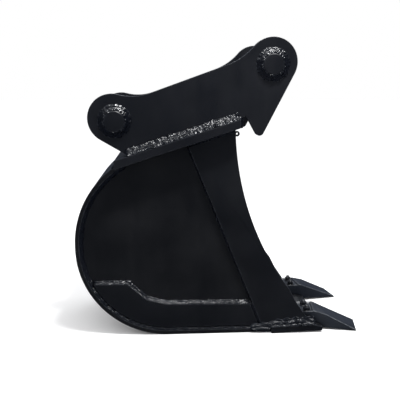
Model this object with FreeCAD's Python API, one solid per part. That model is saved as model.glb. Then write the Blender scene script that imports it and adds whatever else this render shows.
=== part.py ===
"""Narrow two-tooth digging bucket with a symmetrical two-pin hitch, in millimetres.

+X runs from the heel to the teeth, +Z is up, and Y is the bucket's width, so the bucket is
symmetrical about the plane Y = 0.  The origin is on the ground under the middle of the bucket,
which stands on the flat floor of its shell and on its tooth tips.  Looking along +X, the "left"
pieces are on the +Y side.  Most pieces are flame-cut plates, so they are drawn as an outline in
the XZ plane and pulled through their thickness along Y.
"""
import FreeCAD, Part
import math
import os

V = FreeCAD.Vector

# Hitch: two welded pins, whose size and centre distance suit one standard size of coupler
PIN_DIAMETER = 60.0
PIN_CENTRES = 480.0
PIN_LINE_ANGLE = 19.3
PIN_PROJECTION = 13.0
PIN_CHAMFER = 2.5
FRONT_PIN = V(141, 0, 820)
EAR_GAP = 340.0
EAR_THICKNESS = 25.0
EAR_END_RADIUS = 70.0
FRONT_EAR_OFFSET = V(0, 0, 6)
REAR_EAR_OFFSET = V(-7, 0, 7)
EAR_EDGE_POINT = V(31, 0, 826)
EAR_EDGE_ANGLE = 19.7
FRONT_EAR_BLEND = 190.0
REAR_EAR_BLEND = 155.0
REAR_EDGE_ANGLE = -30.5
NOSE_EDGE_ANGLE = 63.0
NOTCH_EDGE_ANGLE = 119.3
NOSE_TIP_RADIUS = 13.0
NOTCH_APEX = V(65, 0, 676)
FOOT_FRONT_X = 54.0

# Top plate: the sloping slab that joins the ears to the shell
TOP_PLATE_THICKNESS = 25.0
TOP_PLATE_HALF_WIDTH = 215.0
TOP_PLATE_ANGLE = 17.8
TOP_PLATE_UNDERSIDE = V(35, 0, 636)
TOP_PLATE_FRONT_X = 48.0
TOP_PLATE_REAR_X = -316.0

# Shell: a rolled wrapper with two radii, and the side plates that stand inside it
WRAPPER_THICKNESS = 12.0
WRAPPER_HALF_WIDTH = 178.0
UPPER_CENTRE = V(-152, 0, 290)
UPPER_RADIUS = 290.0
LOWER_CENTRE = V(-162, 0, 280)
LOWER_RADIUS = 280.0
SIDE_PLATE_THICKNESS = 10.0
SIDE_PLATE_OUTSIDE = 164.0
SIDE_PLATE_SETBACK = 8.0

# Mouth: the hollow front edge of the side cutters
MOUTH_CENTRE = V(902.5, 0, 660)
MOUTH_RADIUS = 865.0
MOUTH_ARC_END_Z = 138.0
MOUTH_KNEE = V(231, 0, 102)
MOUTH_FOOT_X = 283.0

# Side cutters and heel wear plates, which lie on the side plates
SIDE_CUTTER_THICKNESS = 14.0
CUTTER_REAR_TOP = V(-105, 0, 596)
CUTTER_REAR_SLOPE = 0.4063
WEAR_PLATE_THICKNESS = 12.0
WEAR_PLATE_TOP = [V(-289, 0, 165), V(-231, 0, 113), V(-172, 0, 98)]
WEAR_PLATE_FRONT_Z = 94.0
TIE_EYE_CENTRE_Z = 622.0
TIE_EYE_RADIUS = 8.0
TIE_EYE_HOLE_RADIUS = 3.0
TIE_EYE_THICKNESS = 7.0

# Cutting edge: a thick bevelled lip, set slightly nose up
LIP_HALF_WIDTH = 190.0
LIP_REAR_X = 157.0
LIP_FRONT_X = 318.0
LIP_THICKNESS = 20.0
LIP_RISE = 6.0
LIP_BEVEL_X = 290.0
LIP_NOSE_THICKNESS = 12.0

# Teeth: a square block bolted down on the lip, and a blade that splays outwards
TOOTH_CENTRE_Y = 121.0
TOOTH_WIDTH = 84.0
BLOCK_REAR_X = 236.0
BLOCK_REAR_Z = 55.0
BLADE_ROOT_X = 300.0
BLADE_ROOT_Z = 57.0
BLADE_ROOT_TURN = 7.0
BLADE_LENGTH = 138.0
BLADE_SPLAY = 11.0
BLADE_ROOT_UNDERSIDE = 8.0
TIP_THICKNESS = 4.5
NUT_SEAT_Z = 54.5
NUT_SEAT_RADIUS = 14.0
BOLT_X = 277.0
BOLT_SPACING = 44.0
BOLT_DIAMETER = 12.0
BOLT_HOLE_DIAMETER = 13.0
BOLT_HEAD_RADIUS = 12.0
BOLT_TOP_Z = 74.0
NUT_ACROSS_FLATS = 19.0
NUT_HEIGHT = 10.8
WASHER_RADIUS = 12.0
WASHER_THICKNESS = 2.5

# Weld legs
PIN_WELD_LEG = 18.0
PIN_WELD_HEIGHT = 11.0
FOOT_WELD_HEIGHT = 16.0
FOOT_WELD_REACH = 18.0
INNER_FOOT_WELD = 12.0
SEAM_WELD = 12.0
PLATE_WELD = 9.0
REAR_WELD = 13.0

# Sizes worked out from the ones above
EAR_OUTSIDE = EAR_GAP / 2 + EAR_THICKNESS
REAR_PIN = FRONT_PIN - PIN_CENTRES * V(math.cos(math.radians(PIN_LINE_ANGLE)), 0,
                                       math.sin(math.radians(PIN_LINE_ANGLE)))
CUTTER_OUTSIDE = SIDE_PLATE_OUTSIDE + SIDE_CUTTER_THICKNESS
WEAR_PLATE_OUTSIDE = SIDE_PLATE_OUTSIDE + WEAR_PLATE_THICKNESS
FLOOR_TOP = WRAPPER_THICKNESS
DOWN = V(0, 0, -1)
UP = V(0, 0, 1)
ACROSS = V(0, 1, 0)
STRAIGHT_ON = V(1, 0, 0)

nodes = {}


# ---------------------------------------------------------------- drawing helpers

def heading(degrees):
    """Unit vector in the XZ plane, at an angle above +X."""
    return V(math.cos(math.radians(degrees)), 0, math.sin(math.radians(degrees)))


def heading_flat(degrees):
    """Unit vector in the ground plane, at an angle from +X towards +Y."""
    return V(math.cos(math.radians(degrees)), math.sin(math.radians(degrees)), 0)


def line_hits_line(p, p_dir, q, q_dir):
    cross = p_dir.x * q_dir.z - p_dir.z * q_dir.x
    step = ((q.x - p.x) * q_dir.z - (q.z - p.z) * q_dir.x) / cross
    return p + p_dir * step


def line_hits_circle(p, direction, centre, radius, sign):
    """The crossing further along the direction for sign +1, the other one for -1."""
    along = (centre - p).dot(direction)
    foot = p + direction * along
    half_chord = math.sqrt(radius ** 2 - (centre - foot).Length ** 2)
    return foot + direction * (sign * half_chord)


def edge(p, q):
    return Part.makeLine(p, q)


def arc(centre, start, end, over):
    """Arc about a centre, from start to end, passing on the side that "over" points to."""
    radius = (start - centre).Length
    bisector = ((start + end) * 0.5 - centre)
    if bisector.Length < 1e-6 or bisector.dot(over) < 0:
        bisector = over if bisector.Length < 1e-6 else -bisector
    return Part.Arc(start, centre + bisector.normalize() * radius, end).toShape()


def slab(edges, y_low, y_high):
    """Close a loop of edges drawn at Y = 0 and pull it from y_low to y_high."""
    face = Part.Face(Part.Wire(Part.__sortEdges__(edges)))
    face.translate(V(0, y_low, 0))
    return face.extrude(V(0, y_high - y_low, 0))


def outline(points):
    loop = points + points[:1]
    return [edge(loop[i], loop[i + 1]) for i in range(len(points))]


def weld_bar(start, end, leg_a, leg_b):
    """Straight fillet weld: a triangle with two legs, pulled from start to end."""
    triangle = Part.makePolygon([start, start + leg_a, start + leg_b, start])
    return Part.Face(triangle).extrude(end - start)


def rod(radius, length, base, direction=UP):
    return Part.makeCylinder(radius, length, base, direction)


def mirrored(shape):
    return shape.mirror(V(0, 0, 0), ACROSS)


def both_sides(name, shape):
    """The shape is drawn on the -Y side, which is the bucket's right."""
    nodes[name + "_right"] = shape
    nodes[name + "_left"] = mirrored(shape)


# ---------------------------------------------------------------- reference lines

TOP_DIR = heading(TOP_PLATE_ANGLE)
TOP_NORMAL = heading(TOP_PLATE_ANGLE + 90)
TOP_SURFACE = TOP_PLATE_UNDERSIDE + TOP_NORMAL * TOP_PLATE_THICKNESS
CUTTER_DIR = V(CUTTER_REAR_SLOPE, 0, -1).normalize()


def under_top_plate(x):
    return line_hits_line(TOP_PLATE_UNDERSIDE, TOP_DIR, V(x, 0, 0), UP)


def on_top_plate(x):
    return line_hits_line(TOP_SURFACE, TOP_DIR, V(x, 0, 0), UP)


def lip_top(x):
    run = (x - LIP_REAR_X) / (LIP_FRONT_X - LIP_REAR_X)
    return V(x, 0, LIP_THICKNESS + LIP_RISE * run)


def cutter_rear(z):
    return V(CUTTER_REAR_TOP.x + (CUTTER_REAR_TOP.z - z) * CUTTER_REAR_SLOPE, 0, z)


# ---------------------------------------------------------------- hitch

def tangent_blend(centre, radius, blend, side):
    """Hollow blend between the ear's top edge and an end circle.

    side is -1 where the blend lies behind the circle and +1 where it lies in front of it.
    Returns the blend's centre and its tangent points on the edge and on the circle.
    """
    e = heading(EAR_EDGE_ANGLE)
    n = heading(EAR_EDGE_ANGLE + 90)
    height = (centre - EAR_EDGE_POINT).dot(n)
    reach = math.sqrt((radius + blend) ** 2 - (blend - height) ** 2)
    along = (centre - EAR_EDGE_POINT).dot(e) + side * reach
    on_edge = EAR_EDGE_POINT + e * along
    middle = on_edge + n * blend
    on_circle = centre + (middle - centre).normalize() * radius
    return middle, on_edge, on_circle


def ear_plate():
    front = FRONT_PIN + FRONT_EAR_OFFSET
    rear = REAR_PIN + REAR_EAR_OFFSET
    nose_dir = heading(NOSE_EDGE_ANGLE)
    notch_dir = heading(NOTCH_EDGE_ANGLE)
    nose_start = front + heading(NOSE_EDGE_ANGLE - 90) * EAR_END_RADIUS
    corner = line_hits_line(nose_start, nose_dir, NOTCH_APEX, notch_dir)
    half_angle = math.radians(NOTCH_EDGE_ANGLE - NOSE_EDGE_ANGLE) / 2
    to_tangent = NOSE_TIP_RADIUS / math.tan(half_angle)
    to_centre = NOSE_TIP_RADIUS / math.sin(half_angle)
    tip_centre = corner + (nose_dir + notch_dir).normalize() * to_centre
    tip_right = corner + nose_dir * to_tangent
    tip_left = corner + notch_dir * to_tangent
    f_mid, f_edge, f_circle = tangent_blend(front, EAR_END_RADIUS, FRONT_EAR_BLEND, -1)
    r_mid, r_edge, r_circle = tangent_blend(rear, EAR_END_RADIUS, REAR_EAR_BLEND, 1)
    rear_dir = heading(REAR_EDGE_ANGLE)
    rear_tangent = rear + heading(REAR_EDGE_ANGLE - 90) * EAR_END_RADIUS
    foot_rear = line_hits_line(rear_tangent, rear_dir, TOP_SURFACE, TOP_DIR)
    foot_front = on_top_plate(FOOT_FRONT_X)
    edges = [
        edge(foot_rear, foot_front),
        edge(foot_front, NOTCH_APEX),
        edge(NOTCH_APEX, tip_left),
        arc(tip_centre, tip_left, tip_right, DOWN),
        edge(tip_right, nose_start),
        arc(front, nose_start, f_circle, V(1, 0, 1)),
        arc(f_mid, f_circle, f_edge, DOWN),
        edge(f_edge, r_edge),
        arc(r_mid, r_edge, r_circle, DOWN),
        arc(rear, r_circle, rear_tangent, V(-1, 0, 0.5)),
        edge(rear_tangent, foot_rear),
    ]
    plate = slab(edges, -EAR_OUTSIDE, -EAR_GAP / 2)
    for centre in (FRONT_PIN, REAR_PIN):
        plate = plate.cut(rod(PIN_DIAMETER / 2, 4 * EAR_OUTSIDE, centre - ACROSS * 2 * EAR_OUTSIDE, ACROSS))
    return plate, foot_rear


def hitch_pin(centre):
    half = EAR_OUTSIDE + PIN_PROJECTION
    pin = rod(PIN_DIAMETER / 2, 2 * half, centre - ACROSS * half, ACROSS)
    return pin.makeChamfer(PIN_CHAMFER, [e for e in pin.Edges if e.Curve.TypeId == "Part::GeomCircle"])


def pin_welds(centre):
    """A fillet ring round each end of the pin, on the outer face of its ear."""
    r = PIN_DIAMETER / 2
    y = -EAR_OUTSIDE
    corner = centre + V(r, y, 0)
    section = Part.makePolygon([corner, corner + V(PIN_WELD_LEG, 0, 0),
                                corner - V(0, PIN_WELD_HEIGHT, 0), corner])
    ring = Part.Face(section).revolve(centre, ACROSS, 360)
    return Part.makeCompound([ring, mirrored(ring)])


def foot_welds(foot_rear):
    """The two fillets that hold one ear on the top plate, outside and inside."""
    foot_front = on_top_plate(FOOT_FRONT_X - 6)
    outer = V(0, -EAR_OUTSIDE, 0)
    inner = V(0, -EAR_GAP / 2, 0)
    outside = weld_bar(foot_rear + outer, foot_front + outer,
                       TOP_NORMAL * FOOT_WELD_HEIGHT, -ACROSS * FOOT_WELD_REACH)
    inside = weld_bar(foot_rear + inner, foot_front + inner,
                      TOP_NORMAL * INNER_FOOT_WELD, ACROSS * INNER_FOOT_WELD)
    return Part.makeCompound([outside, inside])


# ---------------------------------------------------------------- shell

def top_plate():
    corners = [under_top_plate(TOP_PLATE_REAR_X), under_top_plate(TOP_PLATE_FRONT_X),
               on_top_plate(TOP_PLATE_FRONT_X), on_top_plate(TOP_PLATE_REAR_X)]
    return slab(outline(corners), -TOP_PLATE_HALF_WIDTH, TOP_PLATE_HALF_WIDTH)


def shell_curve(inset):
    """Wrapper line at an inset from its outside: from under the top plate to the flat floor."""
    top = line_hits_circle(TOP_PLATE_UNDERSIDE, TOP_DIR, UPPER_CENTRE, UPPER_RADIUS - inset, -1)
    back_high = UPPER_CENTRE - STRAIGHT_ON * (UPPER_RADIUS - inset)
    back_low = LOWER_CENTRE - STRAIGHT_ON * (LOWER_RADIUS - inset)
    bottom = LOWER_CENTRE + DOWN * (LOWER_RADIUS - inset)
    edges = [
        arc(UPPER_CENTRE, top, back_high, V(-1, 0, 1)),
        edge(back_high, back_low),
        arc(LOWER_CENTRE, back_low, bottom, V(-1, 0, -1)),
    ]
    return edges, top, bottom


def wrapper_plate():
    outside, out_top, out_bottom = shell_curve(0)
    inside, in_top, in_bottom = shell_curve(WRAPPER_THICKNESS)
    front_low = V(LIP_REAR_X, 0, 0)
    front_high = V(LIP_REAR_X, 0, FLOOR_TOP)
    edges = outside + inside + [edge(out_bottom, front_low), edge(front_low, front_high),
                                edge(front_high, in_bottom), edge(in_top, out_top)]
    return slab(edges, -WRAPPER_HALF_WIDTH, WRAPPER_HALF_WIDTH)


def mouth_edges(setback):
    """Front edge of a side plate or side cutter, from the top plate down to the lip."""
    radius = MOUTH_RADIUS + setback
    drop = MOUTH_CENTRE.z - MOUTH_ARC_END_Z
    top = line_hits_circle(TOP_PLATE_UNDERSIDE, TOP_DIR, MOUTH_CENTRE, radius, -1)
    low = V(MOUTH_CENTRE.x - math.sqrt(radius ** 2 - drop ** 2), 0, MOUTH_ARC_END_Z)
    knee = MOUTH_KNEE - STRAIGHT_ON * setback
    foot = lip_top(MOUTH_FOOT_X - setback)
    edges = [arc(MOUTH_CENTRE, top, low, V(-1, 0, 0)), edge(low, knee), edge(knee, foot)]
    return edges, top, foot


def side_plate():
    mouth, top_front, foot = mouth_edges(SIDE_PLATE_SETBACK)
    curve, top_rear, bottom = shell_curve(WRAPPER_THICKNESS)
    step_high = lip_top(LIP_REAR_X)
    step_low = V(LIP_REAR_X, 0, FLOOR_TOP)
    edges = mouth + curve + [edge(foot, step_high), edge(step_high, step_low),
                             edge(step_low, bottom), edge(top_rear, top_front)]
    return slab(edges, -SIDE_PLATE_OUTSIDE, -SIDE_PLATE_OUTSIDE + SIDE_PLATE_THICKNESS)


def side_cutter():
    mouth, top_front, foot = mouth_edges(0)
    top_rear = line_hits_line(cutter_rear(0), CUTTER_DIR, TOP_PLATE_UNDERSIDE, TOP_DIR)
    step_high = lip_top(LIP_REAR_X)
    step_low = V(LIP_REAR_X, 0, FLOOR_TOP)
    rear_foot = cutter_rear(FLOOR_TOP)
    edges = mouth + [edge(foot, step_high), edge(step_high, step_low), edge(step_low, rear_foot),
                     edge(rear_foot, top_rear), edge(top_rear, top_front)]
    return slab(edges, -CUTTER_OUTSIDE, -SIDE_PLATE_OUTSIDE), top_rear


def wear_plate_front(z):
    """Front end of the heel wear plate, which leaves room for the cutter's rear weld."""
    return cutter_rear(z) - STRAIGHT_ON * (PLATE_WELD + 1)


def heel_wear_plate():
    inset = WRAPPER_THICKNESS + SEAM_WELD
    radius = LOWER_RADIUS - inset
    top_start = line_hits_circle(WEAR_PLATE_TOP[0], -STRAIGHT_ON, LOWER_CENTRE, radius, 1)
    bottom = LOWER_CENTRE + DOWN * radius
    front_low = wear_plate_front(inset)
    front_high = wear_plate_front(WEAR_PLATE_FRONT_Z)
    top_line = [top_start] + WEAR_PLATE_TOP + [front_high]
    edges = [edge(top_line[i], top_line[i + 1]) for i in range(len(top_line) - 1)]
    edges += [edge(front_high, front_low), edge(front_low, bottom),
              arc(LOWER_CENTRE, bottom, top_start, V(-1, 0, -1))]
    return slab(edges, -WEAR_PLATE_OUTSIDE, -SIDE_PLATE_OUTSIDE), top_line


def tie_eye():
    """Small lug with a hole, on the front edge of the side cutter, close under the top plate."""
    drop = MOUTH_CENTRE.z - TIE_EYE_CENTRE_Z
    edge_x = MOUTH_CENTRE.x - math.sqrt(MOUTH_RADIUS ** 2 - drop ** 2)
    y = -(SIDE_PLATE_OUTSIDE + CUTTER_OUTSIDE + TIE_EYE_THICKNESS) / 2
    centre = V(edge_x + TIE_EYE_RADIUS / 2, y, TIE_EYE_CENTRE_Z)
    ring = rod(TIE_EYE_RADIUS, TIE_EYE_THICKNESS, centre, ACROSS)
    ring = ring.cut(rod(TIE_EYE_HOLE_RADIUS, TIE_EYE_THICKNESS, centre, ACROSS))
    return ring.cut(side_cutter()[0]).cut(top_plate())


def cutting_edge():
    nose_low = V(LIP_FRONT_X, 0, LIP_RISE)
    corners = [V(LIP_REAR_X, 0, 0), nose_low, nose_low + UP * LIP_NOSE_THICKNESS,
               lip_top(LIP_BEVEL_X), lip_top(LIP_REAR_X)]
    return slab(outline(corners), -LIP_HALF_WIDTH, LIP_HALF_WIDTH)


# ---------------------------------------------------------------- teeth and their bolts

def bolt_places():
    return [V(BOLT_X, -TOOTH_CENTRE_Y + side * BOLT_SPACING / 2, 0) for side in (-1, 1)]


def tooth_section(place, turn, low, high):
    """Upright rectangle across the tooth, turned about the vertical."""
    across = heading_flat(turn - 90) * (TOOTH_WIDTH / 2)
    corners = [place + across + UP * low, place - across + UP * low,
               place - across + UP * high, place + across + UP * high]
    return Part.makePolygon(corners + corners[:1])


def tooth(lip):
    """Block and blade in one casting, fitted over the bevelled front of the lip."""
    root = V(BLADE_ROOT_X, -TOOTH_CENTRE_Y, 0)
    rear = V(BLOCK_REAR_X, -TOOTH_CENTRE_Y, 0)
    tip = root + heading_flat(-BLADE_SPLAY) * BLADE_LENGTH
    sections = [tooth_section(rear, 0, BLADE_ROOT_UNDERSIDE, BLOCK_REAR_Z),
                tooth_section(root, -BLADE_ROOT_TURN, BLADE_ROOT_UNDERSIDE, BLADE_ROOT_Z),
                tooth_section(tip, -BLADE_SPLAY, 0, TIP_THICKNESS)]
    body = Part.makeLoft(sections, True, True).cut(lip)
    for place in bolt_places():
        body = body.cut(rod(NUT_SEAT_RADIUS, BLADE_ROOT_Z, place + UP * NUT_SEAT_Z))
        body = body.cut(rod(BOLT_HOLE_DIAMETER / 2, BLADE_ROOT_Z, place))
    return body


def bolt(place):
    """Countersunk bolt, its head flush with the underside of the lip."""
    head_low = LIP_RISE * (BOLT_X - LIP_REAR_X) / (LIP_FRONT_X - LIP_REAR_X)
    head_depth = BOLT_HEAD_RADIUS - BOLT_DIAMETER / 2
    head = Part.makeCone(BOLT_HEAD_RADIUS, BOLT_DIAMETER / 2, head_depth, place + UP * head_low)
    return head.fuse(rod(BOLT_DIAMETER / 2, BOLT_TOP_Z - head_low, place + UP * head_low)).removeSplitter()


def nut(place):
    circumradius = NUT_ACROSS_FLATS / math.sqrt(3)
    corners = [place + V(circumradius * math.cos(math.radians(60 * i)),
                         circumradius * math.sin(math.radians(60 * i)), 0) for i in range(7)]
    hexagon = Part.Face(Part.makePolygon(corners)).extrude(UP * NUT_HEIGHT)
    crown = Part.makeCone(NUT_ACROSS_FLATS / 2 + 6, NUT_ACROSS_FLATS / 2, NUT_HEIGHT, place)
    return hexagon.common(crown).cut(rod(BOLT_DIAMETER / 2, NUT_HEIGHT, place))


def washer(place):
    disc = rod(WASHER_RADIUS, WASHER_THICKNESS, place)
    return disc.cut(rod(BOLT_HOLE_DIAMETER / 2, WASHER_THICKNESS, place))


# ---------------------------------------------------------------- welds on the shell

def seam_weld():
    """Fillet between the side plate and the inside of the wrapper, all the way round."""
    y = V(0, -SIDE_PLATE_OUTSIDE, 0)
    inner_upper = UPPER_RADIUS - WRAPPER_THICKNESS
    inner_lower = LOWER_RADIUS - WRAPPER_THICKNESS
    back_high = UPPER_CENTRE - STRAIGHT_ON * inner_upper + y
    back_low = LOWER_CENTRE - STRAIGHT_ON * inner_lower + y
    bottom = LOWER_CENTRE + DOWN * inner_lower + y
    legs = (STRAIGHT_ON * SEAM_WELD, -ACROSS * SEAM_WELD)
    triangle = Part.Face(Part.makePolygon([back_high, back_high + legs[0], back_high + legs[1], back_high]))
    end = line_hits_circle(TOP_PLATE_UNDERSIDE, TOP_DIR, UPPER_CENTRE, inner_upper, -1)
    sweep = math.degrees(math.atan2(end.z - UPPER_CENTRE.z, UPPER_CENTRE.x - end.x))
    upper = triangle.revolve(UPPER_CENTRE, ACROSS, sweep)
    middle = weld_bar(back_high, back_low, *legs)
    triangle_low = Part.Face(Part.makePolygon([back_low, back_low + legs[0], back_low + legs[1], back_low]))
    lower = triangle_low.revolve(LOWER_CENTRE, ACROSS, -90)
    front = V(cutter_rear(FLOOR_TOP + SEAM_WELD).x, 0, bottom.z) + y
    floor = weld_bar(bottom, front, UP * SEAM_WELD, legs[1])
    return upper.fuse([middle, lower, floor]).removeSplitter()


def cutter_weld(cutter_top):
    """Fillet along the rear edge of the side cutter, on the side plate."""
    y = V(0, -SIDE_PLATE_OUTSIDE, 0)
    start = cutter_top + CUTTER_DIR * PLATE_WELD
    end = cutter_rear(FLOOR_TOP + SEAM_WELD + 1)
    behind = V(-CUTTER_DIR.z, 0, CUTTER_DIR.x) * -PLATE_WELD
    return weld_bar(start + y, end + y, behind, -ACROSS * PLATE_WELD)


def wear_plate_weld(top_line):
    """Flat-topped bead on the side plate, along the stepped upper edge of the wear plate."""
    upper = []
    for i, point in enumerate(top_line):
        before = top_line[max(i - 1, 0)]
        after = top_line[min(i + 1, len(top_line) - 1)]
        normal_in = V(-(point - before).z, 0, (point - before).x)
        normal_out = V(-(after - point).z, 0, (after - point).x)
        normals = [n.normalize() for n in (normal_in, normal_out) if n.Length > 0]
        mean = sum(normals, V(0, 0, 0)).normalize()
        upper.append(point + mean * (PLATE_WELD / mean.dot(normals[0])))
    keep_in = rod(LOWER_RADIUS - WRAPPER_THICKNESS - SEAM_WELD, SIDE_PLATE_OUTSIDE,
                  LOWER_CENTRE - ACROSS * 2 * SIDE_PLATE_OUTSIDE, ACROSS)
    bead = slab(outline(top_line + upper[::-1]), -SIDE_PLATE_OUTSIDE - PLATE_WELD, -SIDE_PLATE_OUTSIDE)
    keep_in = keep_in.fuse(Part.makeBox(800, SIDE_PLATE_OUTSIDE, 200,
                                        V(LOWER_CENTRE.x, -2 * SIDE_PLATE_OUTSIDE, 0)))
    return bead.common(keep_in)


def lip_end_weld():
    """Heavy fillet between the foot of the side cutter and the top of the lip's end."""
    y = V(0, -CUTTER_OUTSIDE, 0)
    return weld_bar(lip_top(LIP_REAR_X) + y, lip_top(MOUTH_FOOT_X) + y,
                    UP * FOOT_WELD_HEIGHT, -ACROSS * (LIP_HALF_WIDTH - CUTTER_OUTSIDE))


def side_top_weld(cutter_top):
    """Fillet between the top of the side cutter and the underside of the top plate."""
    y = V(0, -CUTTER_OUTSIDE, 0)
    front = mouth_edges(0)[1] - TOP_DIR * PLATE_WELD
    return weld_bar(cutter_top + y, front + y, TOP_NORMAL * -PLATE_WELD, -ACROSS * PLATE_WELD)


def top_plate_rear_weld():
    """Fillet behind the top plate, on the end of the wrapper."""
    corner = under_top_plate(TOP_PLATE_REAR_X) - ACROSS * WRAPPER_HALF_WIDTH
    return weld_bar(corner, corner + ACROSS * 2 * WRAPPER_HALF_WIDTH, UP * REAR_WELD, TOP_DIR * -REAR_WELD)


def lip_seam_weld():
    """Fillet on the bucket's floor, where the wrapper meets the thicker lip."""
    inside = SIDE_PLATE_OUTSIDE - SIDE_PLATE_THICKNESS
    corner = V(LIP_REAR_X, -inside, FLOOR_TOP)
    step = LIP_THICKNESS - FLOOR_TOP
    return weld_bar(corner, corner + ACROSS * 2 * inside, UP * step, -STRAIGHT_ON * step)


# ---------------------------------------------------------------- assembly

ear, ear_foot_rear = ear_plate()
both_sides("ear_plate", ear)
nodes["front_pin"] = hitch_pin(FRONT_PIN)
nodes["rear_pin"] = hitch_pin(REAR_PIN)
nodes["front_pin_welds"] = pin_welds(FRONT_PIN)
nodes["rear_pin_welds"] = pin_welds(REAR_PIN)
both_sides("ear_foot_welds", foot_welds(ear_foot_rear))

nodes["top_plate"] = top_plate()
nodes["wrapper_plate"] = wrapper_plate()
both_sides("side_plate", side_plate())
cutter, cutter_top_rear = side_cutter()
both_sides("side_cutter", cutter)
wear_plate, wear_plate_top_line = heel_wear_plate()
both_sides("heel_wear_plate", wear_plate)
both_sides("tie_eye", tie_eye())

lip_blank = cutting_edge()
both_sides("tooth", tooth(lip_blank))
right_bolts = Part.makeCompound([bolt(place) for place in bolt_places()])
both_sides("tooth_bolts", right_bolts)
washer_base = UP * NUT_SEAT_Z
nut_base = UP * (NUT_SEAT_Z + WASHER_THICKNESS)
both_sides("tooth_washers", Part.makeCompound([washer(p + washer_base) for p in bolt_places()]))
both_sides("tooth_nuts", Part.makeCompound([nut(p + nut_base) for p in bolt_places()]))
lip = lip_blank
for place in bolt_places():
    for hole in (rod(BOLT_HOLE_DIAMETER / 2, 2 * LIP_THICKNESS, place), bolt(place)):
        lip = lip.cut(hole).cut(mirrored(hole))
nodes["cutting_edge"] = lip

both_sides("shell_seam_weld", seam_weld())
both_sides("side_cutter_weld", cutter_weld(cutter_top_rear))
both_sides("wear_plate_weld", wear_plate_weld(wear_plate_top_line))
both_sides("lip_end_weld", lip_end_weld())
both_sides("side_top_weld", side_top_weld(cutter_top_rear))
nodes["top_plate_rear_weld"] = top_plate_rear_weld()
nodes["lip_seam_weld"] = lip_seam_weld()

os.makedirs("parts", exist_ok=True)
for name, shape in nodes.items():
    if not shape.isValid():
        raise ValueError(name + " is not a valid shape")
    shape.exportStep("parts/" + name + ".step")
    box = shape.BoundBox
    print(f"{name:24s} {len(shape.Solids)} solid(s) {shape.Volume / 1000:9.1f} cm3 "
          f"x {box.XMin:7.1f} {box.XMax:7.1f} y {box.YMin:7.1f} {box.YMax:7.1f} z {box.ZMin:7.1f} {box.ZMax:7.1f}")
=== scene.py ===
"""Looks of the two-tooth digging bucket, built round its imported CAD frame.

Lengths are in metres in the CAD frame: +X to the teeth, +Z up, -Y the bucket's right side.
Plates, pins and eyes are bevelled copies of their CAD solids. Weld beads, teeth and fasteners are
modelled here in full and stand for the plain CAD solids in the same places.
"""
import math

import bmesh
import bpy
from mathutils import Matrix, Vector, noise


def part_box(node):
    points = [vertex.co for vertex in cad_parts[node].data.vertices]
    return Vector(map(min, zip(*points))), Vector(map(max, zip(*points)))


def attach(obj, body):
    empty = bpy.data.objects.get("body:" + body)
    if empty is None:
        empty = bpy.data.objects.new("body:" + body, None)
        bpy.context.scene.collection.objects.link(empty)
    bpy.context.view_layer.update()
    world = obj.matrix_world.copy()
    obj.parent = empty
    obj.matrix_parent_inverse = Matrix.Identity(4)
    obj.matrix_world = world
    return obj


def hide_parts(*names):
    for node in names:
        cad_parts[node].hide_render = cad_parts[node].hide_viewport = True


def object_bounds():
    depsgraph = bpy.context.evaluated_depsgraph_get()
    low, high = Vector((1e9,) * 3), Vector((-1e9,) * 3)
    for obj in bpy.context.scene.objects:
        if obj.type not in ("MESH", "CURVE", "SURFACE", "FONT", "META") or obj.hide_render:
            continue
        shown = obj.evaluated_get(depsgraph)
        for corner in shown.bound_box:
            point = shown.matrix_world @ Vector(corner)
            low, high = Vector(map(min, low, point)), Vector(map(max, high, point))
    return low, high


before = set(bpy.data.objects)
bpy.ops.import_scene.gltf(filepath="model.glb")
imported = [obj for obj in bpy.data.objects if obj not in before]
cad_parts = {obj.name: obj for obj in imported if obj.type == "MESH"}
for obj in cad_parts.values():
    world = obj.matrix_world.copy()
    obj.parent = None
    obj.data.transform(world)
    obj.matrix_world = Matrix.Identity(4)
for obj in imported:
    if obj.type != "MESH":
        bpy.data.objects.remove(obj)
cad_low, cad_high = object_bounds()

UP = Vector((0, 0, 1))
ACROSS = Vector((0, 1, 0))
FORWARD = Vector((1, 0, 0))
SIDES = ("right", "left")

# Camera, in front of the bucket's right side
CAMERA_PLACE = (-0.1654, -1.8332, 0.7574)
CAMERA_PITCH_DOWN = 11.30
CAMERA_YAW = -3.41
CAMERA_LENS = 51.03
SENSOR_WIDTH = 36.0

# Hitch and top plate
TOP_PLATE_ANGLE = math.radians(17.8)

# Shell: inner radii of the rolled wrapper, whose arcs join behind the bucket
WRAPPER_THICKNESS = 0.012
UPPER_CENTRE = Vector((-0.152, 0, 0.290))
LOWER_CENTRE = Vector((-0.162, 0, 0.280))
UPPER_INNER_RADIUS = 0.278
LOWER_INNER_RADIUS = 0.268
CUTTER_REAR_TOP = Vector((-0.105, 0, 0.596))
CUTTER_REAR_SLOPE = 0.4063
WEAR_PLATE_FRONT_Z = 0.094
FILL_RAISE = 0.007
HEEL_RAISE = 0.004
WEAR_PLATE_STEPS = ((-0.289, 0.165), (-0.231, 0.113), (-0.172, 0.098))
MOUTH_FOOT_X = 0.283
LIP_THICKNESS = 0.020
LIP_RISE = 0.006
LIP_LEAD_IN = 0.065
LIP_LEAD_OUT = 0.014

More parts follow.
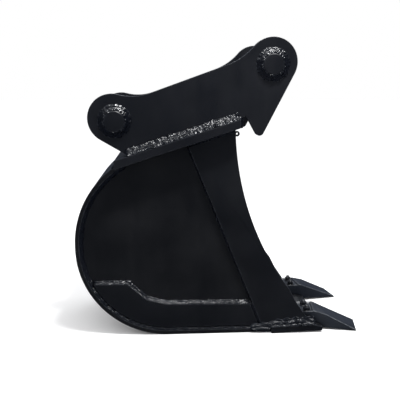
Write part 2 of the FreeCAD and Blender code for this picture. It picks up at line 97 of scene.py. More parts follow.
# Teeth: the right one, which the left one mirrors
TOOTH_CENTRE_Y = -0.121
TOOTH_HALF_WIDTH = 0.042
BLOCK_REAR_X = 0.236
BLOCK_TOP_Z = 0.060
BLADE_ROOT_X = 0.300
BLADE_ROOT_Z = 0.0605
BLADE_ROOT_TURN = 7.0
BLADE_SPLAY = 11.0
BLADE_LENGTH = 0.138
BLADE_UNDERSIDE_Z = 0.008
BLADE_TIP_THICKNESS = 0.0045
POCKET_RIM = 0.006
POCKET_DEPTH = 0.0055
CREASE_NEAR = 0.30
CREASE_FAR = 0.05
CREASE_NEAR_Z = 0.050
CREASE_FAR_Z = 0.0595
BOLT_X = 0.277
BOLT_SPACING = 0.044
BOLT_RADIUS = 0.006
BOLT_TOP_Z = 0.074
NUT_SEAT_Z = 0.0545
WASHER_THICKNESS = 0.0025
NUT_ACROSS_FLATS = 0.019
NUT_HEIGHT = 0.0108
THREAD_PITCH = 0.00175
THREAD_DEPTH = 0.0009

# Weld beads
RIPPLE_PITCH = 0.0065
RIPPLE_HEIGHT = 0.0012
BEAD_SINK = 0.0006
BEAD_TAPER = 0.010
END_SWELL = 0.35
LEG_WANDER = 0.13
LANE_DRIFT = 0.22
CHEVRON = 1.1
LANE_OFFSET = 0.41
PHASE_WANDER = 0.9
CROWN_SHARE = 0.07
FINE_WANDER = 0.9
FILLET_HOLLOW = 1.85

# Paint
# Colours of the painted highlight along rounded edges, on the steel and on the cast teeth
EDGE_HIGHLIGHT_COLOUR = (0.030, 0.034, 0.042, 1)
TOOTH_EDGE_HIGHLIGHT_COLOUR = (0.200, 0.210, 0.225, 1)
DUST_COLOUR = (0.080, 0.080, 0.078, 1)
# Painted shade in cavities: its colour, the reach and range of the occlusion test, and the specular level
# that dims the reflection there
CAVITY_SHADE_COLOUR = (0.0012, 0.0014, 0.0020, 1)
CAVITY_SHADE_REACH = 0.020
CAVITY_SHADE_RANGE = (0.25, 0.75)
CAVITY_SHADE_SPECULAR = (0.12, 0.5)
# Radius of the bevel test that finds the edges that get the painted highlight
EDGE_HIGHLIGHT_RADIUS = 0.0024
NODE_SAMPLES = 4
DUST_ROUGHNESS = 0.35
DRAG_HEIGHT = 0.0006

# Bolt head, washer and floor
HEAD_RADIUS = 0.0120
HEAD_DEPTH = 0.0060
WASHER_RADIUS = 0.0120
FLOOR_HALF_SIZE = 30.0
FLOOR_GAP = 0.0005


# ---------------------------------------------------------------- materials

def add(tree, kind, inputs=None, **settings):
    """Adds a node; inputs are constants or the sockets that feed them."""
    node = tree.nodes.new(kind)
    for key, value in settings.items():
        setattr(node, key, value)
    for key, value in (inputs or {}).items():
        if isinstance(value, bpy.types.NodeSocket):
            tree.links.new(value, node.inputs[key])
        else:
            node.inputs[key].default_value = value
    return node


def noise_map(tree, place, scale, detail=2.0, stretch=(1, 1, 1)):
    """Fractal noise over object space, stretched along an axis where its factor is small."""
    mapping = add(tree, "ShaderNodeMapping", {"Vector": place, "Scale": stretch})
    texture = add(tree, "ShaderNodeTexNoise",
                  {"Vector": mapping.outputs[0], "Scale": scale, "Detail": detail})
    return texture.outputs["Fac"]


def remap(tree, value, low, high, to_low=0.0, to_high=1.0):
    node = add(tree, "ShaderNodeMapRange", {
        "Value": value, "From Min": low, "From Max": high, "To Min": to_low, "To Max": to_high})
    return node.outputs[0]


def multiply(tree, first, second):
    return add(tree, "ShaderNodeMath", {0: first, 1: second}, operation="MULTIPLY").outputs[0]


def tint(tree, factor, below, above):
    """Colour between two, by a factor."""
    node = add(tree, "ShaderNodeMix", {"Factor": factor, "A": below, "B": above},
               data_type="RGBA")
    return node.outputs["Result"]


def paint(name, deep, thin, rough, peel, grain, dust, edge=EDGE_HIGHLIGHT_COLOUR,
          bend_range=(0.992, 0.94), cut_edges=False):
    """Black machinery enamel over steel.

    deep and thin are its colours where it lies thick and where it lies thin, and rough is its
    lowest and highest roughness. peel and grain are the heights of its orange peel and of the
    metal's texture under it, and dust is the most dust that lies on top. edge is the colour of a
    painted highlight along its rounded edges, and bend_range sets how far an edge turns before the
    highlight shows. Painted shade darkens the colour and dims the reflection in its cavities.
    cut_edges adds drag marks to every face that doesn't face sideways, which takes in the flame-cut
    edges.
    """
    material = bpy.data.materials.new(name)
    material.use_nodes = True
    tree = material.node_tree
    tree.nodes.clear()
    place = add(tree, "ShaderNodeTexCoord").outputs["Object"]
    geometry = add(tree, "ShaderNodeNewGeometry")
    axes = add(tree, "ShaderNodeSeparateXYZ", {0: geometry.outputs["Normal"]})

    cloud = noise_map(tree, place, 7.0, 3.0)
    runs = noise_map(tree, place, 30.0, 2.0, (1, 1, 0.12))
    peel_map = noise_map(tree, place, 420.0, 2.0)
    grain_map = noise_map(tree, place, 120.0, 6.0)
    specks = noise_map(tree, place, 900.0, 1.0)

    # Painted highlight: edges are lighter where the bevelled normal turns from the true one, broken up by
    # grain
    rounded = add(tree, "ShaderNodeBevel", {"Radius": EDGE_HIGHLIGHT_RADIUS}, samples=NODE_SAMPLES)
    bend = add(tree, "ShaderNodeVectorMath",
               {0: rounded.outputs[0], 1: geometry.outputs["Normal"]}, operation="DOT_PRODUCT")
    edge_highlight_mask = remap(tree, bend.outputs["Value"], *bend_range)
    edge_highlight_mask = multiply(tree, edge_highlight_mask, remap(tree, grain_map, 0.38, 0.60, 0.15, 1.0))
    colour = tint(tree, remap(tree, cloud, 0.35, 0.68), deep, thin)
    colour = tint(tree, edge_highlight_mask, colour, edge)
    facing_up = remap(tree, axes.outputs["Z"], 0.55, 1.0)
    settled = multiply(tree, facing_up, remap(tree, grain_map, 0.40, 0.70, 0.0, dust))
    specked = multiply(tree, remap(tree, specks, 0.66, 0.74),
                       remap(tree, cloud, 0.4, 0.7, 0, dust))
    dusty = add(tree, "ShaderNodeMath", {0: settled, 1: specked}, operation="MAXIMUM").outputs[0]
    colour = tint(tree, dusty, colour, DUST_COLOUR)

    # Painted shade: ambient occlusion darkens the colour and dims the reflection in cavities
    open_sky = add(tree, "ShaderNodeAmbientOcclusion", {"Distance": CAVITY_SHADE_REACH},
                   samples=NODE_SAMPLES).outputs["AO"]
    colour = tint(tree, remap(tree, open_sky, *CAVITY_SHADE_RANGE), CAVITY_SHADE_COLOUR, colour)
    specular = remap(tree, open_sky, *CAVITY_SHADE_RANGE, *CAVITY_SHADE_SPECULAR)

    sheen_map = add(tree, "ShaderNodeMath", {0: cloud, 1: runs}, operation="ADD").outputs[0]
    gloss = remap(tree, sheen_map, 0.70, 1.30, *rough)
    gloss = add(tree, "ShaderNodeMath", {0: gloss, 1: multiply(tree, dusty, DUST_ROUGHNESS)},
                operation="ADD").outputs[0]

    height = multiply(tree, grain_map, grain)
    if cut_edges:
        drag = noise_map(tree, place, 330.0, 1.0, (1, 0.03, 1))
        on_edge = remap(tree, add(tree, "ShaderNodeMath", {0: axes.outputs["Y"]},
                                  operation="ABSOLUTE").outputs[0], 0.5, 0.2)
        drag = multiply(tree, multiply(tree, drag, on_edge), DRAG_HEIGHT)
        height = add(tree, "ShaderNodeMath", {0: height, 1: drag}, operation="ADD").outputs[0]
    peel_height = multiply(tree, peel_map, peel)
    height = add(tree, "ShaderNodeMath", {0: height, 1: peel_height}, operation="ADD").outputs[0]
    bump = add(tree, "ShaderNodeBump", {"Height": height, "Strength": 1.0, "Distance": 1.0})

    shader = add(tree, "ShaderNodeBsdfPrincipled", {
        "Base Color": colour, "Roughness": gloss, "Normal": bump.outputs[0],
        "Specular IOR Level": specular})
    add(tree, "ShaderNodeOutputMaterial", {"Surface": shader.outputs[0]})
    return material


MATERIALS = {
    "hitch_paint": paint("hitch_enamel", (0.0026, 0.0033, 0.0054, 1), (0.0042, 0.0050, 0.0079, 1),
                         (0.34, 0.46), 0.00004, 0.00008, 0.12, cut_edges=True),
    "shell_paint": paint("shell_enamel", (0.0019, 0.0021, 0.0030, 1), (0.0034, 0.0037, 0.0050, 1),
                         (0.36, 0.50), 0.00004, 0.00010, 0.12, cut_edges=True),
    "wear_paint": paint("wear_plate_enamel", (0.0016, 0.0020, 0.0034, 1),
                        (0.0029, 0.0036, 0.0057, 1), (0.34, 0.48), 0.00004, 0.00008, 0.12, cut_edges=True),
    "weld_paint": paint("weld_enamel", (0.0016, 0.0020, 0.0034, 1), (0.0036, 0.0042, 0.0064, 1),
                        (0.13, 0.24), 0.0006, 0.0024, 0.04),
    # Cast teeth: a brighter painted highlight along their edges
    "tooth_paint": paint("cast_enamel", (0.0056, 0.0073, 0.0116, 1), (0.0112, 0.0141, 0.0198, 1),
                         (0.30, 0.44), 0.00003, 0.00030, 0.07, edge=TOOTH_EDGE_HIGHLIGHT_COLOUR,
                         bend_range=(0.9985, 0.975)),
    "fastener_paint": paint("fastener_enamel", (0.0030, 0.0034, 0.0050, 1),
                            (0.0080, 0.0090, 0.0115, 1), (0.22, 0.34), 0.00002, 0.00005, 0.15),
}


def make_piece(name, bm, slot, *nodes):
    """Turns a bmesh into a piece that rides with the bucket and stands for CAD nodes."""
    bmesh.ops.recalc_face_normals(bm, faces=bm.faces)
    mesh = bpy.data.meshes.new(name)
    bm.to_mesh(mesh)
    bm.free()
    piece = bpy.data.objects.new(name, mesh)
    bpy.context.scene.collection.objects.link(piece)
    mesh.materials.append(MATERIALS[slot])
    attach(piece, "root")
    if nodes:
        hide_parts(*nodes)
    return piece


def shade(piece, sharp_angle):
    """Smooth shading, with edges over an angle left sharp."""
    mesh = piece.data
    mesh.polygons.foreach_set("use_smooth", [True] * len(mesh.polygons))
    mesh.set_sharp_from_angle(angle=math.radians(sharp_angle))
    return piece


# ---------------------------------------------------------------- plates

def soften(bm, width, segments=2, sharpest=28.0):
    """Bevels every edge that turns by more than an angle."""
    edges = [e for e in bm.edges
             if len(e.link_faces) == 2 and e.calc_face_angle(0) > math.radians(sharpest)]
    bmesh.ops.bevel(bm, geom=edges, offset=width, segments=segments, profile=0.6,
                    affect="EDGES", clamp_overlap=True)


def plate(node, slot, bevel):
    """A copy of a CAD piece with its corners ground to a small radius."""
    bm = bmesh.new()
    bm.from_mesh(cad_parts[node].data)
    bmesh.ops.remove_doubles(bm, verts=bm.verts, dist=1e-6)
    bmesh.ops.dissolve_limit(bm, angle_limit=math.radians(0.4), verts=bm.verts, edges=bm.edges)
    soften(bm, bevel)
    return shade(make_piece(node + "_painted", bm, slot, node), 20.0)


# ---------------------------------------------------------------- weld beads

def arc(centre, radius, start, end):
    """Points about a Y axis; degrees run from +X towards +Z."""
    steps = max(2, int(abs(end - start) / 2))
    turns = [math.radians(start + (end - start) * i / steps) for i in range(steps + 1)]
    return [centre + Vector((math.cos(t), 0, math.sin(t))) * radius for t in turns]


def resample(points, spacing):
    """The same line with points at an even spacing."""
    lengths = [(b - a).length for a, b in zip(points, points[1:])]
    total = sum(lengths)
    count = max(4, round(total / spacing))
    made, leg, passed = [], 0, 0.0
    for i in range(count + 1):
        target = total * i / count
        while leg < len(lengths) - 1 and passed + lengths[leg] < target:
            passed += lengths[leg]
            leg += 1
        share = (target - passed) / lengths[leg]
        made.append(points[leg].lerp(points[leg + 1], min(1.0, share)))
    return made


def wander(run, scale, seed):
    """Smooth noise along a bead, between about -1 and 1."""
    return noise.noise(Vector((run / scale, seed, 0.5 * seed)))


def scallop(phase):
    """One ripple: it rises slowly and drops sharply into the next."""
    share = phase % 1.0
    return math.sin(math.pi * share ** 1.6) ** 0.7


def lay_bead(bm, line, out, side, legs, passes=1, pitch=RIPPLE_PITCH, ripple=RIPPLE_HEIGHT,
             closed=False, seed=1.0, spacing=0.0014, grow=1.0):
    """Adds a fillet weld along a line, made of overlapping ripples in one or more passes.

    out points away from the plate that the first leg lies on; that leg runs to the given side
    of the line, and the second leg runs along out. grow scales the bead towards its far end.
    """
    line = resample(line, spacing)
    if closed:
        line = line[:-1]
    count = len(line)
    total = spacing * count
    section = 9 * passes
    rows = []
    for i, point in enumerate(line):
        before = line[i - 1] if i or closed else point
        after = line[(i + 1) % count] if closed or i + 1 < count else point
        across = (after - before).normalized().cross(out).normalized() * side
        run = spacing * i
        swell = 1.0 + (grow - 1.0) * run / total
        if not closed:
            near_end = min(1.0, min(run, total - run) / BEAD_TAPER)
            swell *= END_SWELL + (1.0 - END_SWELL) * math.sqrt(1.0 - (1.0 - near_end) ** 2)
        leg_a = legs[0] * swell * (1.0 + LEG_WANDER * wander(run, 0.013, seed))
        leg_b = legs[1] * swell * (1.0 + LEG_WANDER * wander(run, 0.013, seed + 7))
        row = []
        for j in range(section + 1):
            share = j / section
            turn = share * math.pi / 2
            cos, sin = math.cos(turn), math.sin(turn)
            drift = LANE_DRIFT * wander(run, 0.025, seed + 3)
            lane = share * passes + drift * math.sin(math.pi * share)
            lane = min(max(lane, 0.0), passes - 1e-6)
            in_lane = lane % 1.0
            lobe = math.sin(math.pi * in_lane) ** 0.85
            phase = (run / pitch + CHEVRON * (2 * in_lane - 1) ** 2 + LANE_OFFSET * int(lane)
                     + PHASE_WANDER * wander(run, 0.022, seed + 11 + int(lane)))
            strength = 0.8 + 1.9 * wander(run, 0.012, seed + 17 + 2.3 * int(lane))
            height = CROWN_SHARE * min(leg_a, leg_b)
            height += ripple * swell * strength * scallop(phase)
            height += FINE_WANDER * ripple * wander(run, 0.0045, seed + 5 + 3 * share)
            spot = point + across * (leg_a * cos ** FILLET_HOLLOW)
            spot += out * (leg_b * sin ** FILLET_HOLLOW)
            spot += (across * cos + out * sin) * (lobe * height)
            spot -= across * (BEAD_SINK * sin) + out * (BEAD_SINK * cos)
            row.append(bm.verts.new(spot))
        row.append(bm.verts.new(point - (across + out) * BEAD_SINK))
        rows.append(row)
    links = zip(rows, rows[1:] + rows[:1]) if closed else zip(rows, rows[1:])
    for first, second in links:
        for j in range(len(first)):
            k = (j + 1) % len(first)
            bm.faces.new((first[j], first[k], second[k], second[j]))
    if not closed:
        bm.faces.new(rows[0])
        bm.faces.new(rows[-1][::-1])


def flip(bm):
    """Mirrors what was drawn on the right side over to the left."""
    for vert in bm.verts:
        vert.co.y *= -1


def bead_piece(name, beads, *nodes, mirror=False):
    """A piece of one or more beads, each given as the arguments of lay_bead."""
    bm = bmesh.new()
    for bead in beads:
        lay_bead(bm, **bead)
    if mirror:
        flip(bm)
    return shade(make_piece(name, bm, "weld_paint", *nodes), 60.0)


def at(points, y):
    """The same points, moved to a plane of constant Y."""
    return [Vector((p.x, y, p.z)) for p in points]


def cutter_rear(z):
    return Vector((CUTTER_REAR_TOP.x + (CUTTER_REAR_TOP.z - z) * CUTTER_REAR_SLOPE, 0, z))


# ---------------------------------------------------------------- turned pieces and teeth

def turned(bm, centre, rings, segments=32, radius_at=None, hollow=False):
    """Joins rings of (height, radius) about a vertical axis into a closed surface.

    radius_at(angle, level, radius) reshapes a ring; a hollow piece joins its last ring to its
    first, and any other is capped at both ends.
    """
    made = []
    for level, radius in rings:
        ring = []
        for i in range(segments):
            angle = 2 * math.pi * i / segments
            r = radius_at(angle, level, radius) if radius_at else radius
            spoke = Vector((r * math.cos(angle), r * math.sin(angle), level))
            ring.append(bm.verts.new(centre + spoke))
        made.append(ring)
    for low, high in zip(made, made[1:] + (made[:1] if hollow else [])):
        for i in range(segments):
            k = (i + 1) % segments
            bm.faces.new((low[i], low[k], high[k], high[i]))
    if not hollow:
        bm.faces.new(made[0][::-1])
        bm.faces.new(made[-1])


def bolt(bm, place, head_z, thread_z, top_z):
    """Countersunk bolt with a rolled thread above the tooth."""
    rings = [(head_z, HEAD_RADIUS - 0.0002), (head_z + 0.0006, HEAD_RADIUS),
             (head_z + HEAD_DEPTH, BOLT_RADIUS), (thread_z, BOLT_RADIUS)]
    steps = round((top_z - thread_z - 0.001) / (THREAD_PITCH / 6))
    rings += [(thread_z + THREAD_PITCH / 6 * i, BOLT_RADIUS) for i in range(1, steps + 1)]
    rings += [(top_z - 0.0004, BOLT_RADIUS - 0.0008), (top_z, BOLT_RADIUS - 0.0016)]

    def thread(angle, level, radius):
        if not thread_z < level < top_z - 0.0005:
            return radius
        turn = level / THREAD_PITCH - angle / (2 * math.pi)
        return radius - THREAD_DEPTH * (0.5 - 0.5 * math.cos(2 * math.pi * turn))

    turned(bm, place, rings, 24, thread)


def nut(bm, place, turn):
    """Hexagon nut, its corners cut back by a cone."""
    def flats(angle, level, radius):
        off_flat = (angle + turn) % (math.pi / 3) - math.pi / 6
        return min(radius, NUT_ACROSS_FLATS / 2 / math.cos(off_flat))

    corner = NUT_ACROSS_FLATS / math.sqrt(3)
    rings = [(0.0, corner * 0.93), (0.0007, corner), (NUT_HEIGHT - 0.0026, corner),
             (NUT_HEIGHT - 0.0016, corner * 0.965), (NUT_HEIGHT - 0.0008, corner * 0.92),
             (NUT_HEIGHT, corner * 0.86), (NUT_HEIGHT, BOLT_RADIUS + 0.0008),
             (NUT_HEIGHT - 0.0008, BOLT_RADIUS), (0.0, BOLT_RADIUS)]
    turned(bm, place, rings, 48, flats, hollow=True)


def washer(bm, place):
    top = WASHER_THICKNESS
    rings = [(0.0, WASHER_RADIUS - 0.0003), (0.0004, WASHER_RADIUS),
             (top - 0.0004, WASHER_RADIUS), (top, WASHER_RADIUS - 0.0004),
             (top, BOLT_RADIUS + 0.0004), (0.0, BOLT_RADIUS + 0.0004)]
    turned(bm, place, rings, 40, hollow=True)


def tooth_section(bm, near, far, low, high):
    """Corner points across the tooth: near and far are its sides in plan."""
    return [bm.verts.new((p.x, p.y, z)) for p, z in
            ((near, low[0]), (far, low[1]), (far, high[1]), (near, high[0]))]


def tooth(bm):
    """Cast corner tooth: a bolted block, a slanting crease and a blade that splays outwards."""
    def plan(place, turn, half=TOOTH_HALF_WIDTH):
        across = Vector((math.sin(math.radians(turn)), -math.cos(math.radians(turn)), 0)) * half
        return place + across, place - across

    root = Vector((BLADE_ROOT_X, TOOTH_CENTRE_Y, 0))
    splay = math.radians(-BLADE_SPLAY)
    heading = Vector((math.cos(splay), math.sin(splay), 0))
    rear_near, rear_far = plan(Vector((BLOCK_REAR_X, TOOTH_CENTRE_Y, 0)), 0)
    root_near, root_far = plan(root, -BLADE_ROOT_TURN)
    tip_near, tip_far = plan(root + heading * BLADE_LENGTH, -BLADE_SPLAY)
    low = BLADE_UNDERSIDE_Z
    crease_near = root_near.lerp(tip_near, CREASE_NEAR)
    crease_far = root_far.lerp(tip_far, CREASE_FAR)
    low_near = low * (1 - CREASE_NEAR)
    low_far = low * (1 - CREASE_FAR)
    rings = [
        tooth_section(bm, rear_near, rear_far, (low, low), (BLOCK_TOP_Z, BLOCK_TOP_Z)),
        tooth_section(bm, root_near, root_far, (low, low), (BLADE_ROOT_Z, BLADE_ROOT_Z)),
        tooth_section(bm, crease_near, crease_far, (low_near, low_far),
                      (CREASE_NEAR_Z, CREASE_FAR_Z)),
        tooth_section(bm, tip_near, tip_far, (0.0, 0.0), (BLADE_TIP_THICKNESS,) * 2),
    ]
    for first, second in zip(rings, rings[1:]):
        for j in range(4):
            k = (j + 1) % 4
            bm.faces.new((first[j], first[k], second[k], second[j]))
    bm.faces.new(rings[0])
    bm.faces.new(rings[-1][::-1])
    bmesh.ops.recalc_face_normals(bm, faces=bm.faces)
    block_top = max(bm.faces,
                    key=lambda f: f.normal.z * (f.calc_center_median().x < BLADE_ROOT_X))
    bmesh.ops.inset_region(bm, faces=[block_top], thickness=POCKET_RIM, depth=-POCKET_DEPTH)
    bmesh.ops.connect_verts_nonplanar(bm, angle_limit=math.radians(1), faces=bm.faces)
    soften(bm, 0.0022, 2, 7.0)


# ---------------------------------------------------------------- build: plates

plate("top_plate", "hitch_paint", 0.0024)
plate("front_pin", "hitch_paint", 0.0006)
plate("rear_pin", "hitch_paint", 0.0006)
plate("wrapper_plate", "shell_paint", 0.0012)
plate("cutting_edge", "wear_paint", 0.0018)
for side in SIDES:
    plate(f"ear_plate_{side}", "hitch_paint", 0.0014)
    plate(f"side_plate_{side}", "shell_paint", 0.0010)
    plate(f"side_cutter_{side}", "wear_paint", 0.0016)
    plate(f"heel_wear_plate_{side}", "wear_paint", 0.0014)
    plate(f"tie_eye_{side}", "wear_paint", 0.0008)

# ---------------------------------------------------------------- build: welds

# Faces on the right side, and the lines that the beads follow
ear_outside, ear_inside = (corner.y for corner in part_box("ear_plate_right"))
skin_outside, skin_inside = (corner.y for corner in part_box("side_plate_right"))
cutter_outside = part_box("side_cutter_right")[0].y
slab_low, slab_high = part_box("top_plate")
lip_low, lip_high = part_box("cutting_edge")
foot_low, foot_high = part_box("ear_foot_welds_right")
seam_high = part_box("shell_seam_weld_right")[1]
wear_low, wear_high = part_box("heel_wear_plate_right")
mouth_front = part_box("side_top_weld_right")[1]

slab_dir = Vector((math.cos(TOP_PLATE_ANGLE), 0, math.sin(TOP_PLATE_ANGLE)))
floor_z = WRAPPER_THICKNESS


def on_slab(x):
    """The point at x on the top plate's sloping upper face."""
    corner = Vector((slab_high.x, 0, slab_high.z))
    return corner + slab_dir * ((x - corner.x) / slab_dir.x)


def under_slab(x):
    """The point at x on the top plate's sloping lower face."""
    corner = Vector((slab_low.x, 0, slab_low.z))
    return corner + slab_dir * ((x - corner.x) / slab_dir.x)


def lip_top(x):
    """The point at x on the upper face of the lip, which rises to the front."""
    share = (x - lip_low.x) / (lip_high.x - lip_low.x)
    return Vector((x, 0, LIP_THICKNESS + LIP_RISE * share))


seam_top = 180 - math.degrees(math.asin((seam_high.z - UPPER_CENTRE.z) / UPPER_INNER_RADIUS))
floor_end = Vector((cutter_rear(floor_z).x, 0, floor_z))
shell_line = (arc(UPPER_CENTRE, UPPER_INNER_RADIUS, seam_top, 180)
              + arc(LOWER_CENTRE, LOWER_INNER_RADIUS, 180, 270))
wear_line = ([Vector((wear_low.x, 0, WEAR_PLATE_STEPS[0][1]))]
             + [Vector((x, 0, z)) for x, z in WEAR_PLATE_STEPS]
             + [Vector((wear_high.x, 0, WEAR_PLATE_FRONT_Z))])
heel_line = [p for p in shell_line if p.z < wear_line[0].z - 0.003] + [floor_end]
foot_line = [on_slab(foot_low.x), on_slab(foot_high.x)]
foot_lump_line = [on_slab(foot_high.x - 0.012), on_slab(slab_high.x), under_slab(slab_high.x)]
cutter_line = [CUTTER_REAR_TOP - UP * 0.012 + FORWARD * 0.005, cutter_rear(0.026)]
fill_line = [cutter_rear(WEAR_PLATE_FRONT_Z + 0.004), cutter_rear(0.020)]
lip_lead_in = [Vector((lip_low.x - LIP_LEAD_IN, 0, floor_z)), Vector((lip_low.x, 0, floor_z))]
lip_line = [lip_lead_in[0], Vector((lip_low.x - 0.004, 0, floor_z + 0.004)),
            lip_top(lip_low.x + 0.010), lip_top(MOUTH_FOOT_X + LIP_LEAD_OUT)]
cutter_top_line = [under_slab(CUTTER_REAR_TOP.x), under_slab(mouth_front.x)]

for number, side in enumerate(SIDES):
    mirror = side == "left"
    seed = 20.0 * number
    bead_piece(f"ear_foot_beads_{side}", [
        dict(line=at(foot_line, ear_outside), out=-ACROSS, side=-1, legs=(0.019, 0.018),
             passes=2, ripple=0.0030, seed=seed + 1),
        dict(line=at(foot_line, ear_inside), out=ACROSS, side=1, legs=(0.012, 0.012),
             spacing=0.0018, seed=seed + 2),
        dict(line=at(foot_lump_line, ear_outside), out=-ACROSS, side=-1, legs=(0.010, 0.014),
             seed=seed + 12),
    ], f"ear_foot_welds_{side}", mirror=mirror)
    bead_piece(f"shell_seam_bead_{side}", [
        dict(line=at(shell_line + [floor_end], skin_outside), out=-ACROSS, side=-1,
             legs=(0.012, 0.012), ripple=0.0012, spacing=0.0016, seed=seed + 3),
    ], f"shell_seam_weld_{side}", mirror=mirror)
    bead_piece(f"side_cutter_bead_{side}", [
        dict(line=at(cutter_line, skin_outside), out=-ACROSS, side=1, legs=(0.006, 0.007),
             ripple=0.0004, spacing=0.002, seed=seed + 4),
        dict(line=at(fill_line, skin_outside - FILL_RAISE), out=-ACROSS, side=1,
             legs=(0.013, 0.006), ripple=0.0007, seed=seed + 14),
    ], f"side_cutter_weld_{side}", mirror=mirror)
    bead_piece(f"wear_plate_bead_{side}", [
        dict(line=at(heel_line, skin_outside - HEEL_RAISE), out=-ACROSS, side=-1,
             legs=(0.013, 0.008), ripple=0.0022, seed=seed + 15),
        dict(line=at(wear_line, skin_outside), out=-ACROSS, side=-1, legs=(0.009, 0.010),
             passes=2, ripple=0.0024, seed=seed + 5),
    ], f"wear_plate_weld_{side}", mirror=mirror)
    bead_piece(f"lip_end_beads_{side}", [
        dict(line=at(lip_line, cutter_outside), out=-ACROSS, side=-1, legs=(0.014, 0.008),
             passes=3, ripple=0.0027, grow=1.7, seed=seed + 6),
        dict(line=at(lip_lead_in, cutter_outside), out=-ACROSS, side=1, legs=(0.008, 0.007),
             ripple=0.0013, grow=1.3, seed=seed + 8),
    ], f"lip_end_weld_{side}", mirror=mirror)
    bead_piece(f"side_top_bead_{side}", [
        dict(line=at(cutter_top_line, cutter_outside), out=-ACROSS, side=1,
             legs=(0.009, 0.009), spacing=0.0018, seed=seed + 9),
    ], f"side_top_weld_{side}", mirror=mirror)
    bead_piece(f"inside_seam_bead_{side}", [
        dict(line=at(shell_line + [Vector((lip_low.x, 0, floor_z))], skin_inside), out=ACROSS,
             side=1, legs=(0.009, 0.009), spacing=0.0022, seed=seed + 10),
    ], mirror=mirror)

for pin in ("front_pin", "rear_pin"):
    pin_low, pin_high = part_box(pin)
    centre = (pin_low + pin_high) / 2
    radius = (pin_high.z - pin_low.z) / 2
    circle = arc(centre, radius, 0, 360)
    bead_piece(f"{pin}_beads", [
        dict(line=at(circle, y), out=ACROSS * turn, side=-turn, legs=(0.018, 0.011), passes=2,
             ripple=0.0020, closed=True, seed=31.0 + y)
        for y, turn in ((ear_outside, -1), (-ear_outside, 1))
    ], f"{pin}_welds")

slab_rear = under_slab(slab_low.x)
bead_piece("top_plate_rear_bead", [
    dict(line=[Vector((slab_rear.x, y, slab_rear.z)) for y in (cutter_outside, -cutter_outside)],
         out=-slab_dir, side=1, legs=(0.012, 0.012), seed=41.0),
], "top_plate_rear_weld")
bead_piece("lip_seam_bead", [
    dict(line=[Vector((lip_low.x, y, floor_z)) for y in (skin_inside, -skin_inside)],
         out=-FORWARD, side=1, legs=(0.008, 0.010), seed=43.0),
], "lip_seam_weld")

# ---------------------------------------------------------------- build: teeth and bolts

lip_share = (BOLT_X - lip_low.x) / (lip_high.x - lip_low.x)
bolt_places = [Vector((BOLT_X, TOOTH_CENTRE_Y + offset * BOLT_SPACING / 2, 0))
               for offset in (-1, 1)]
for number, side in enumerate(SIDES):
    mirror = side == "left"
    parts = {key: bmesh.new() for key in ("tooth", "tooth_bolts", "tooth_washers", "tooth_nuts")}
    tooth(parts["tooth"])
    for i, place in enumerate(bolt_places):
        bolt(parts["tooth_bolts"], place, LIP_RISE * lip_share, NUT_SEAT_Z, BOLT_TOP_Z)
        washer(parts["tooth_washers"], place + UP * NUT_SEAT_Z)
        nut(parts["tooth_nuts"], place + UP * (NUT_SEAT_Z + WASHER_THICKNESS),
            0.4 + 0.9 * i + number)
    for key, bm in parts.items():
        if mirror:
            flip(bm)
        slot = "tooth_paint" if key == "tooth" else "fastener_paint"
        piece = make_piece(f"{key}_{side}_cast" if key == "tooth" else f"{key}_{side}_turned",
                           bm, slot, f"{key}_{side}")
        shade(piece, 25.0)

# ---------------------------------------------------------------- studio

def studio_material():
    """Pale painted concrete floor."""
    material = bpy.data.materials.new("pale_floor")
    material.use_nodes = True
    tree = material.node_tree
    tree.nodes.clear()
    place = add(tree, "ShaderNodeTexCoord").outputs["Object"]
    mottle = noise_map(tree, place, 3.0, 4.0)
    colour = tint(tree, mottle, (0.88, 0.88, 0.88, 1), (0.92, 0.92, 0.92, 1))
    grit = noise_map(tree, place, 300.0, 2.0)
    bump = add(tree, "ShaderNodeBump", {"Height": grit, "Strength": 0.2, "Distance": 0.0004})
    shader = add(tree, "ShaderNodeBsdfPrincipled", {
        "Base Color": colour, "Roughness": 0.9, "Specular IOR Level": 0.1,
        "Normal": bump.outputs[0]})
    add(tree, "ShaderNodeOutputMaterial", {"Surface": shader.outputs[0]})
    return material


def make_floor():
    bm = bmesh.new()
    bmesh.ops.create_grid(bm, x_segments=8, y_segments=8, size=FLOOR_HALF_SIZE)
    mesh = bpy.data.meshes.new("floor")
    bm.to_mesh(mesh)
    bm.free()
    floor = bpy.data.objects.new("floor", mesh)
    floor.location.z = cad_low.z - FLOOR_GAP
    floor.visible_glossy = False
    mesh.materials.append(studio_material())
    bpy.context.scene.collection.objects.link(floor)


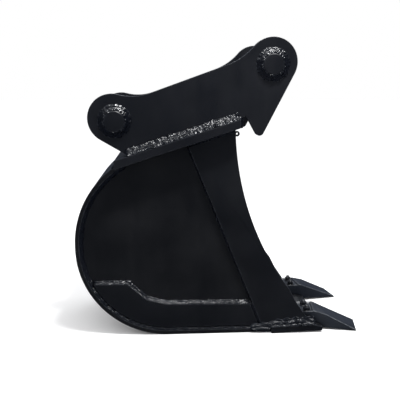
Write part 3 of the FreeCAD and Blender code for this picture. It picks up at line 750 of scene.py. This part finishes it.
def make_world():
    """White background, even light on dull surfaces and a dark-sided sky in reflections."""
    world = bpy.data.worlds.new("studio")
    bpy.context.scene.world = world
    world.use_nodes = True
    tree = world.node_tree
    tree.nodes.clear()
    direction = add(tree, "ShaderNodeTexCoord").outputs["Generated"]
    height = add(tree, "ShaderNodeSeparateXYZ", {0: direction}).outputs["Z"]
    low = tint(tree, remap(tree, height, -0.35, 0.05),
               (0.040, 0.048, 0.070, 1), (0.088, 0.103, 0.140, 1))
    sky = tint(tree, remap(tree, height, 0.60, 1.0), low, (2.45, 2.54, 2.70, 1))
    path = add(tree, "ShaderNodeLightPath")
    colour = tint(tree, path.outputs["Is Diffuse Ray"], sky, (1.22, 1.22, 1.23, 1))
    colour = tint(tree, path.outputs["Is Camera Ray"], colour, (1.0, 1.0, 1.0, 1))
    background = add(tree, "ShaderNodeBackground", {"Color": colour, "Strength": 1.0})
    add(tree, "ShaderNodeOutputWorld", {"Surface": background.outputs[0]})
    world.cycles.sampling_method = "NONE"


def soft_light(name, place, target, size, power, colour=(1, 1, 1)):
    light = bpy.data.lights.new(name, "AREA")
    light.shape = "RECTANGLE"
    light.size, light.size_y = size
    light.energy = power
    light.color = colour
    lamp = bpy.data.objects.new(name, light)
    lamp.location = place
    lamp.rotation_mode = "QUATERNION"
    lamp.rotation_quaternion = (Vector(target) - Vector(place)).to_track_quat("-Z", "Y")
    bpy.context.scene.collection.objects.link(lamp)


def make_camera():
    data = bpy.data.cameras.new("camera")
    data.sensor_width = SENSOR_WIDTH
    data.lens = CAMERA_LENS
    camera = bpy.data.objects.new("camera", data)
    camera.location = CAMERA_PLACE
    camera.rotation_euler = (math.radians(90 - CAMERA_PITCH_DOWN), 0, math.radians(CAMERA_YAW))
    bpy.context.scene.collection.objects.link(camera)
    bpy.context.scene.camera = camera


make_floor()
make_world()
middle = (cad_low + cad_high) / 2
soft_light("overhead_softbox", (middle.x + 0.40, -0.90, 2.60), middle, (0.6, 0.14), 66.0)
soft_light("back_softbox", (middle.x + 0.5, 1.9, 2.2), middle, (1.2, 0.3), 10.0, (0.92, 0.96, 1.0))
make_camera()
bpy.context.scene.view_settings.view_transform = "Standard"
